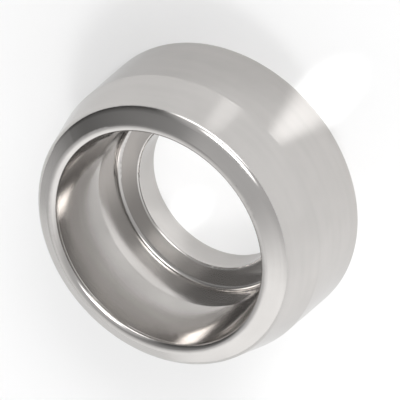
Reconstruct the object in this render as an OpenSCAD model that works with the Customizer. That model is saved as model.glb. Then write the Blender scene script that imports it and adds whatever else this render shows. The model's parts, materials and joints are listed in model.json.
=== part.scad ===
// Hose fitting sleeve: a ring turned in one piece from stainless bar.
// It stands on its flat rear face, with its mouth upwards.
// The whole form is one profile turned about the Z axis: X is the radius, Y the height.

/* [Body] */
// Outer diameter of the straight rear part
body_d = 38; // [37:0.1:44]
// Height of the straight rear part
straight_h = 9.2; // [6:0.1:11]
// Height from the rear face to the crown of the lip
overall_h = 16.5; // [16.1:0.1:18]
// Slope of the tapered front, in degrees from the axis
taper_angle = 12; // [6:0.5:16]
// Slope of the nose chamfer, in degrees from the axis
chamfer_angle = 60; // [52:1:66]
// Rounding where the taper turns into the nose chamfer
shoulder_r = 1.4; // [0.3:0.1:1.8]

/* [Mouth] */
// Diameter inside the rounded lip
mouth_d = 29.1; // [28.5:0.1:29.5]
// Radius of the rounded lip
lip_r = 0.8; // [0.5:0.05:0.9]
// Height of the tapered seat's foot, where the counterbore begins
seat_foot_h = 8.4; // [6:0.1:12]

/* [Counterbore] */
// Diameter of the counterbore at the foot of the seat
counterbore_d = 26; // [24:0.1:27]
// Height of the shelf at the foot of the counterbore
shelf_h = 3.7; // [2.5:0.1:5]
// Fillet in the corner of the shelf
shelf_fillet_r = 0.6; // [0.2:0.05:0.9]

/* [Rear bore] */
// Diameter of the rear bore
bore_d = 20; // [17:0.1:22]
// Rounding of the edge where the bore meets the shelf
bore_edge_r = 0.3; // [0.1:0.05:0.5]

/* [Hidden] */
$fn = 180;
// How far a cutting shape runs past the metal
over = 1;

body_r = body_d / 2;
mouth_r = mouth_d / 2;
counterbore_r = counterbore_d / 2;
bore_r = bore_d / 2;

// Centre of the lip's round section
lip_centre = [mouth_r + lip_r, overall_h - lip_r];

// Unit vectors square to the taper and to the nose chamfer
taper_normal = [cos(taper_angle), sin(taper_angle)];
chamfer_normal = [cos(chamfer_angle), sin(chamfer_angle)];

// Distance from the origin to each of those two lines: the taper starts at the
// top of the straight part, and the chamfer touches the lip's round section
taper_dist = taper_normal * [body_r, straight_h];
chamfer_dist = chamfer_normal * lip_centre + lip_r;

// Point where two lines meet that run beside the taper and the chamfer, at these distances
function meet(taper, chamfer) =
    [taper * sin(chamfer_angle) - chamfer * sin(taper_angle),
     chamfer * cos(taper_angle) - taper * cos(chamfer_angle)] / sin(chamfer_angle - taper_angle);

shoulder_centre = meet(taper_dist - shoulder_r, chamfer_dist - shoulder_r);

// Outside of the metal, still solid inside, up to the height of the lip's centre
module blank() {
    polygon([
        [0, 0],
        [body_r, 0],
        [body_r, straight_h],
        shoulder_centre + shoulder_r * taper_normal,
        shoulder_centre,
        shoulder_centre + shoulder_r * chamfer_normal,
        lip_centre + lip_r * chamfer_normal,
        lip_centre,
        [0, lip_centre.y]
    ]);
    translate(shoulder_centre) circle(shoulder_r);
}

// Straight hole through the rear wall, with its rounded edge at the shelf
module rear_bore() {
    translate([0, -over]) square([bore_r, shelf_h + 2 * over]);
    difference() {
        translate([0, shelf_h - bore_edge_r]) square([bore_r + bore_edge_r, bore_edge_r + over]);
        translate([bore_r + bore_edge_r, shelf_h - bore_edge_r]) circle(bore_edge_r);
    }
}

// Counterbore from the shelf up to the foot of the seat, with a fillet in its corner
module counterbore() {
    depth = seat_foot_h - shelf_h;
    translate([0, shelf_h]) square([counterbore_r - shelf_fillet_r, depth]);
    translate([0, shelf_h + shelf_fillet_r]) square([counterbore_r, depth - shelf_fillet_r]);
    translate([counterbore_r - shelf_fillet_r, shelf_h + shelf_fillet_r]) circle(shelf_fillet_r);
}

// Tapered seat from the counterbore out to the inside of the lip
module seat() {
    polygon([
        [0, seat_foot_h],
        [counterbore_r, seat_foot_h],
        [mouth_r, lip_centre.y],
        [mouth_r, overall_h + over],
        [0, overall_h + over]
    ]);
}

module profile() {
    difference() {
        blank();
        rear_bore();
        counterbore();
        seat();
    }
    translate(lip_centre) circle(lip_r);
}

module sleeve() {
    color("silver") rotate_extrude() profile();
}

sleeve();
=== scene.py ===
import json
import math

import bpy
from mathutils import Matrix, Vector


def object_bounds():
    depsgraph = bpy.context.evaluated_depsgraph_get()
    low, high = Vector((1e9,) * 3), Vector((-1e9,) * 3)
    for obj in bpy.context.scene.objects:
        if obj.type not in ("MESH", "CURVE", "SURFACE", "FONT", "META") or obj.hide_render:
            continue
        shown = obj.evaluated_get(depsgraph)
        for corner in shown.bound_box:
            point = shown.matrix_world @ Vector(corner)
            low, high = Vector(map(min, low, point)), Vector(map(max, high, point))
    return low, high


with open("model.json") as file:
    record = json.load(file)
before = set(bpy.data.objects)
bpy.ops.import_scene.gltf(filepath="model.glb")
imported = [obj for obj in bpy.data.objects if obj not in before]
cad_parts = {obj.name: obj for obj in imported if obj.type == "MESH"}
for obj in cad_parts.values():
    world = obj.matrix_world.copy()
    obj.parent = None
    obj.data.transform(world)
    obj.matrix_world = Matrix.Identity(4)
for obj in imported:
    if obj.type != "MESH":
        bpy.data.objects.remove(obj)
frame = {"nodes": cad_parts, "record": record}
cad_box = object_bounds()
scene = bpy.context.scene
sleeve = frame["nodes"]["sleeve"]
mounts = {mount["name"]: mount for mount in frame["record"]["mounts"]}

# Lengths are in metres. Azimuth is counted from +X towards +Y.
MM = 0.001


def round_mount(name):
    """Radius, lowest height and highest height of a bore or a pin of the part."""
    dims = mounts[name]["dims"]
    middle = mounts[name]["pos_m"][2]
    half = dims["length_mm"] * MM / 2
    return dims["r_mm"] * MM, middle - half, middle + half


OUTER_R, _, _ = round_mount("outside")
BORE_R, _, BORE_TOP = round_mount("rear_bore")
COUNTERBORE_R, COUNTERBORE_FOOT, COUNTERBORE_TOP = round_mount("counterbore")
FOOT = cad_box[0][2]
TOP = cad_box[1][2]

# Camera at the photograph's viewing angle: from the side of -Y, rolled about its own axis.
# The pixel values place the part's origin and give its outer radius in the photograph.
CAMERA_TILT = math.radians(41.418)
CAMERA_ROLL = math.radians(49.135)
CAMERA_DISTANCE = 0.6
CAMERA_CLIP = (0.01, 10)
FRAME_PX = 400
ORIGIN_PX = (223.952, 181.808)
OUTER_R_PX = 154.4113
PIXEL = OUTER_R / OUTER_R_PX


def camera():
    across = Vector((-1, 0, 0))
    upward = Vector((0, math.cos(CAMERA_TILT), math.sin(CAMERA_TILT)))
    back = Vector((0, -math.sin(CAMERA_TILT), math.cos(CAMERA_TILT)))
    cos, sin = math.cos(CAMERA_ROLL), math.sin(CAMERA_ROLL)
    right = cos * across - sin * upward
    up = -(sin * across + cos * upward)
    shift_right = (FRAME_PX / 2 - ORIGIN_PX[0]) * PIXEL
    shift_up = (ORIGIN_PX[1] - FRAME_PX / 2) * PIXEL
    place = right * shift_right + up * shift_up + back * CAMERA_DISTANCE
    data = bpy.data.cameras.new("camera")
    data.type = "ORTHO"
    data.ortho_scale = FRAME_PX * PIXEL
    data.clip_start, data.clip_end = CAMERA_CLIP
    obj = bpy.data.objects.new("camera", data)
    obj.matrix_world = Matrix.Translation(place) @ Matrix((right, up, back)).transposed().to_4x4()
    scene.collection.objects.link(obj)
    scene.camera = obj


class Graph:
    """The nodes of one material. A value is a number or the output of another node."""

    def __init__(self, name):
        self.mat = bpy.data.materials.new(name)
        self.mat.use_nodes = True
        self.principled = self.mat.node_tree.nodes["Principled BSDF"]

    def node(self, kind):
        return self.mat.node_tree.nodes.new("ShaderNode" + kind)

    def link(self, output, socket):
        self.mat.node_tree.links.new(output, socket)

    def put(self, value, socket):
        if isinstance(value, bpy.types.NodeSocket):
            self.link(value, socket)
        else:
            socket.default_value = value

    def calc(self, operation, a, b=0.0):
        node = self.node("Math")
        node.operation = operation
        self.put(a, node.inputs[0])
        self.put(b, node.inputs[1])
        return node.outputs[0]

    def times(self, a, b):
        return self.calc("MULTIPLY", a, b)

    def total(self, *values):
        result = values[0]
        for value in values[1:]:
            result = self.calc("ADD", result, value)
        return result

    def length(self, a, b):
        return self.calc("SQRT", self.total(self.calc("POWER", a, 2), self.calc("POWER", b, 2)))

    def noise(self, vector, size, detail, w=None):
        """Noise with spots of about a size. With w it is noise in four dimensions."""
        node = self.node("TexNoise")
        if w is not None:
            node.noise_dimensions = "4D"
            self.link(w, node.inputs["W"])
        self.link(vector, node.inputs["Vector"])
        node.inputs["Scale"].default_value = 1 / size
        node.inputs["Detail"].default_value = detail
        return node.outputs["Fac"]

    def spread(self, value, low, high):
        """0 below low, 1 above high, smooth between them."""
        node = self.node("MapRange")
        node.interpolation_type = "SMOOTHSTEP"
        self.link(value, node.inputs["Value"])
        node.inputs["From Min"].default_value = low
        node.inputs["From Max"].default_value = high
        return node.outputs["Result"]

    def glow(self, strength):
        node = self.node("Emission")
        self.put(strength, node.inputs["Strength"])
        return node.outputs[0]

    def both(self, a, b):
        node = self.node("AddShader")
        self.link(a, node.inputs[0])
        self.link(b, node.inputs[1])
        return node.outputs[0]

    def mix(self, share, a, b):
        node = self.node("MixShader")
        self.link(share, node.inputs[0])
        self.link(a, node.inputs[1])
        self.link(b, node.inputs[2])
        return node.outputs[0]

    def surface(self, shader):
        """The material, with a shader in place of the default one."""
        nodes = self.mat.node_tree.nodes
        nodes.remove(self.principled)
        self.link(shader, nodes["Material Output"].inputs["Surface"])
        return self.mat


# Steel: warm grey, turned round the part's axis and then polished, with a fine grain along the turning.
STEEL = (0.565, 0.548, 0.533)
STEEL_EDGE_TINT = 0.86
STEEL_ROUGHNESS = 0.12
STEEL_ANISOTROPY = 0.6
STEEL_GRAIN_TURN = 0.25

# Turning lines are bump. Feed bands are wider rings of another tone and roughness. A drift says how fast
# they change along a ring.
TURNING_PITCH = 0.00016
TURNING_HEIGHT = 6.0e-7
TURNING_DRIFT = 2.2
BAND_PITCH = 0.0011
BAND_DRIFT = 1.4
BAND_SHADE = 0.055
BAND_ROUGHNESS = 0.035
RING_DETAIL = 2

# Soft smudges, and flecks whose height is a share of the turning lines' height.
SMUDGE_SIZE = 0.0075
SMUDGE_DETAIL = 4
SMUDGE_EDGES = (0.42, 0.72)
SMUDGE_SHADE = 0.040
SMUDGE_ROUGHNESS = 0.045
FLECK_SIZE = 0.00035
FLECK_DETAIL = 2
FLECK_HEIGHT = 0.35

# Corners are rubbed in patches, which the flecks break up. The shelf's inner corner gets painted shade:
# its base colour is darkened there, as if the recess were in shade.
WEAR_WIDTH = 0.00055
WEAR_SHADE = 0.07
WEAR_ROUGHNESS = 0.07
PATCH_SIZE = SMUDGE_SIZE / 4
PATCH_DETAIL = 3
PATCH_EDGES = (0.45, 0.75)
PATCH_FLECK = 0.3
PAINTED_SHADE_WIDTH = 0.0007
PAINTED_SHADE_DARKNESS = 0.16

# The shelf lies a fillet below the counterbore's straight wall. The crest of the lip is at a share of the
# outer radius.
SHELF_FILLET = 0.0006
LIP_CREST = 0.808

WORN_RINGS = (
    (OUTER_R, FOOT),
    (BORE_R, FOOT),
    (BORE_R, BORE_TOP),
    (COUNTERBORE_R, COUNTERBORE_TOP),
    (OUTER_R * LIP_CREST, TOP),
)
# The shelf's inner corner, which is darkened with painted shade.
PAINTED_SHADE_RINGS = ((COUNTERBORE_R, COUNTERBORE_FOOT - SHELF_FILLET),)


def steel_material():
    g = Graph("polished_steel")
    place = g.node("TexCoord").outputs["Object"]
    split = g.node("SeparateXYZ")
    g.link(place, split.inputs[0])
    x, y, z = split.outputs
    radius = g.length(x, y)
    cos = g.calc("DIVIDE", x, radius)
    sin = g.calc("DIVIDE", y, radius)

    def rings(pitch, drift):
        """Noise that runs round the axis as rings and changes slowly along each ring."""
        vector = g.node("CombineXYZ")
        g.link(g.calc("DIVIDE", radius, pitch), vector.inputs[0])
        g.link(g.calc("DIVIDE", z, pitch), vector.inputs[1])
        g.link(g.times(cos, drift), vector.inputs[2])
        return g.noise(vector.outputs[0], 1, RING_DETAIL, w=g.times(sin, drift))

    def near(profile_rings, width):
        """1 on rings of the profile, given as (radius, height), and 0 at a width from them."""
        result = 0.0
        for ring_r, ring_z in profile_rings:
            gap = g.length(g.calc("SUBTRACT", radius, ring_r), g.calc("SUBTRACT", z, ring_z))
            result = g.calc("MAXIMUM", result, g.calc("SUBTRACT", 1.0, g.spread(gap, 0, width)))
        return result

    turning = rings(TURNING_PITCH, TURNING_DRIFT)
    bands = g.calc("SUBTRACT", rings(BAND_PITCH, BAND_DRIFT), 0.5)
    smudge = g.spread(g.noise(place, SMUDGE_SIZE, SMUDGE_DETAIL), *SMUDGE_EDGES)
    fleck = g.noise(place, FLECK_SIZE, FLECK_DETAIL)
    patch = g.total(g.noise(place, PATCH_SIZE, PATCH_DETAIL), g.times(fleck, PATCH_FLECK))
    wear = g.times(near(WORN_RINGS, WEAR_WIDTH), g.spread(patch, *PATCH_EDGES))
    # Painted shade: a darker ring of base colour in the shelf's inner corner, where the recess is shaded.
    painted_shade = near(PAINTED_SHADE_RINGS, PAINTED_SHADE_WIDTH)

    shade = g.total(
        1.0,
        g.times(bands, 2 * BAND_SHADE),
        g.times(smudge, -SMUDGE_SHADE),
        g.times(wear, WEAR_SHADE),
        g.times(painted_shade, -PAINTED_SHADE_DARKNESS),
    )
    tone = g.node("VectorMath")
    tone.operation = "SCALE"
    tone.inputs[0].default_value = STEEL
    g.link(shade, tone.inputs["Scale"])
    rough = g.total(
        STEEL_ROUGHNESS,
        g.times(bands, 2 * BAND_ROUGHNESS),
        g.times(smudge, SMUDGE_ROUGHNESS),
        g.times(wear, WEAR_ROUGHNESS),
    )
    bump = g.node("Bump")
    bump.inputs["Distance"].default_value = TURNING_HEIGHT
    g.link(g.total(turning, g.times(fleck, FLECK_HEIGHT)), bump.inputs["Height"])
    tangent = g.node("Tangent")
    tangent.direction_type = "RADIAL"
    tangent.axis = "Z"

    inputs = g.principled.inputs
    inputs["Metallic"].default_value = 1.0
    inputs["Specular Tint"].default_value = (STEEL_EDGE_TINT, STEEL_EDGE_TINT, STEEL_EDGE_TINT, 1)
    inputs["Anisotropic"].default_value = STEEL_ANISOTROPY
    inputs["Anisotropic Rotation"].default_value = STEEL_GRAIN_TURN
    g.link(tone.outputs[0], inputs["Base Color"])
    g.link(rough, inputs["Roughness"])
    g.link(bump.outputs[0], inputs["Normal"])
    g.link(tangent.outputs[0], inputs["Tangent"])
    return g.mat


# Studio: a plain pale floor, soft cards on a dome round the part, and lamps that light only the floor.
FLOOR_HALF = 3
FLOOR_ALBEDO = 0.65
FLOOR_GLOW = 0.27
WORLD_LEVEL = 0.64
CARD_R = 1.2
FLAG_R = 1.4
CARD_STEPS = 30
DOME_LOWEST = 0.2
DOME_HIGHEST = 89.5
SOFT_LAMP_DISTANCE = 0.6
POOL_HEIGHT = 0.3
POOL_LAMP_R = 0.001


def stage_mesh(name, verts, faces, material):
    mesh = bpy.data.meshes.new(name)
    mesh.from_pydata(verts, [], faces)
    mesh.materials.append(material)
    obj = bpy.data.objects.new(name, mesh)
    scene.collection.objects.link(obj)
    return obj


def floor_material():
    """Matt and pale. A little glow makes it white to the camera and in the metal, and lights nothing."""
    g = Graph("pale_floor")
    matt = g.node("BsdfDiffuse")
    matt.inputs["Color"].default_value = (FLOOR_ALBEDO, FLOOR_ALBEDO, FLOOR_ALBEDO, 1)
    rays = g.node("LightPath").outputs
    seen = rays["Is Camera Ray"]
    for ray in ("Is Glossy Ray", "Is Transmission Ray"):
        seen = g.calc("MAXIMUM", seen, rays[ray])
    return g.surface(g.both(matt.outputs[0], g.glow(g.times(seen, FLOOR_GLOW))))


def floor():
    half = FLOOR_HALF
    corners = [(-half, -half, FOOT), (half, -half, FOOT), (half, half, FOOT), (-half, half, FOOT)]
    stage_mesh("floor", corners, [(0, 1, 2, 3)], floor_material())


def direction(az, el):
    a, e = math.radians(az), math.radians(el)
    return Vector((math.cos(e) * math.cos(a), math.cos(e) * math.sin(a), math.sin(e)))


def edge(inside, width):
    """How much of a card there is at a distance inside its edge: 0.5 at the edge, smooth over the width."""
    share = max(0.0, min(1.0, inside / width + 0.5))
    return share * share * (3 - 2 * share)


def card_material(name, level, flag):
    g = Graph(name)
    rim = g.node("Attribute")
    rim.attribute_name = "rim"
    share = rim.outputs["Fac"]
    clear = g.node("BsdfTransparent").outputs[0]
    if flag:
        return g.surface(g.mix(share, clear, g.glow(level)))
    return g.surface(g.both(clear, g.glow(g.times(share, level))))


def card(name, az, el, soft, level, flag=False):
    """A studio card on a dome, from azimuth az[0] to az[1] and elevation el[0] to el[1], in degrees. Its
    soft rim is soft[0] wide at the sides and soft[1] at the top and bottom, and a card that starts at
    elevation 0 has no rim there. A lit card adds its light to what is behind it, and a flag hides it."""
    radius = FLAG_R if flag else CARD_R
    first, last = az[0] - soft[0] / 2, az[1] + soft[0] / 2
    low, high = max(DOME_LOWEST, el[0] - soft[1] / 2), min(DOME_HIGHEST, el[1] + soft[1] / 2)
    middle, half = (az[0] + az[1]) / 2, (az[1] - az[0]) / 2
    row = CARD_STEPS + 1
    verts, rims = [], []
    for j in range(row):
        e = low + (high - low) * j / CARD_STEPS
        for i in range(row):
            a = first + (last - first) * i / CARD_STEPS
            verts.append(direction(a, e) * radius)
            share = edge(half - abs(a - middle), soft[0]) * edge(el[1] - e, soft[1])
            if el[0] > 0:
                share *= edge(e - el[0], soft[1])
            rims.append(share)
    corners = (j * row + i for j in range(CARD_STEPS) for i in range(CARD_STEPS))
    faces = [(k, k + 1, k + row + 1, k + row) for k in corners]
    obj = stage_mesh(name, verts, faces, card_material(name, level, flag))
    obj.data.attributes.new("rim", "FLOAT", "POINT").data.foreach_set("value", rims)
    obj.visible_camera = False
    obj.visible_shadow = False


def lamp(name, kind, power):
    """A lamp that neither the camera nor the metal sees."""
    data = bpy.data.lights.new(name, kind)
    data.energy = power
    obj = bpy.data.objects.new(name, data)
    scene.collection.objects.link(obj)
    obj.visible_glossy = False
    obj.visible_camera = False
    return data, obj


def soft_lamp(name, az, el, size, level):
    """A round soft lamp. Level 1 gives a surface that faces it, at the part, an irradiance of pi."""
    data, obj = lamp(name, "AREA", level * (math.pi * SOFT_LAMP_DISTANCE) ** 2)
    data.shape = "DISK"
    data.size = size
    towards = direction(az, el)
    obj.location = towards * SOFT_LAMP_DISTANCE
    obj.rotation_euler = towards.to_track_quat("Z", "Y").to_euler()


def pool(name, at, radii, level, turn=0):
    """An oval pool of light on the floor from a spot straight above it, turned by so many degrees. Level 1
    gives the floor at its middle an irradiance of pi."""
    data, obj = lamp(name, "SPOT", level * (2 * math.pi * POOL_HEIGHT) ** 2)
    widest = max(radii)
    data.spot_size = 2 * math.atan(widest / POOL_HEIGHT)
    data.spot_blend = 1
    data.shadow_soft_size = POOL_LAMP_R
    obj.location = (*at, POOL_HEIGHT)
    obj.rotation_euler = (0, 0, math.radians(turn))
    obj.scale = (radii[0] / widest, radii[1] / widest, 1)


def sky():
    world = bpy.data.worlds.new("studio")
    world.use_nodes = True
    background = world.node_tree.nodes["Background"].inputs
    background["Color"].default_value = (1, 1, 1, 1)
    background["Strength"].default_value = WORLD_LEVEL
    scene.world = world


camera()
steel = steel_material()
for slot in sleeve.material_slots:
    slot.material = steel

floor()
sky()
card("dark_flag", az=(-28, 50), el=(0, 55), soft=(28, 150), level=0.02, flag=True)
card("wide_card", az=(96, 200), el=(0, 62), soft=(70, 45), level=0.76)
card("key_card", az=(264, 300), el=(26, 40), soft=(28, 10), level=10)
card("low_card", az=(272, 325), el=(0, 8), soft=(25, 20), level=4.8)
soft_lamp("side_lamp", az=154, el=60, size=0.12, level=0.20)

# The wall, the taper and the bore mirror the floor close to them, so each pool is a stripe or a sheen on
# one of them.
pool("front_pool", at=(0, -OUTER_R - 0.0015), radii=(0.0036, 0.0105), level=1.1)
pool("left_pool", at=(-OUTER_R - 0.0150, 0), radii=(0.0300, 0.0300), level=0.18)
pool("taper_pool", at=(OUTER_R + 0.0015, -OUTER_R - 0.0189), radii=(0.0060, 0.0120), level=0.45, turn=30)
pool("bore_pool", at=(0, 0.0010), radii=(0.0220, 0.0220), level=0.46)
pool("bore_stripe", at=(0, BORE_R - 0.0018), radii=(0.0024, 0.0060), level=0.40)

scene.view_settings.view_transform = "Standard"
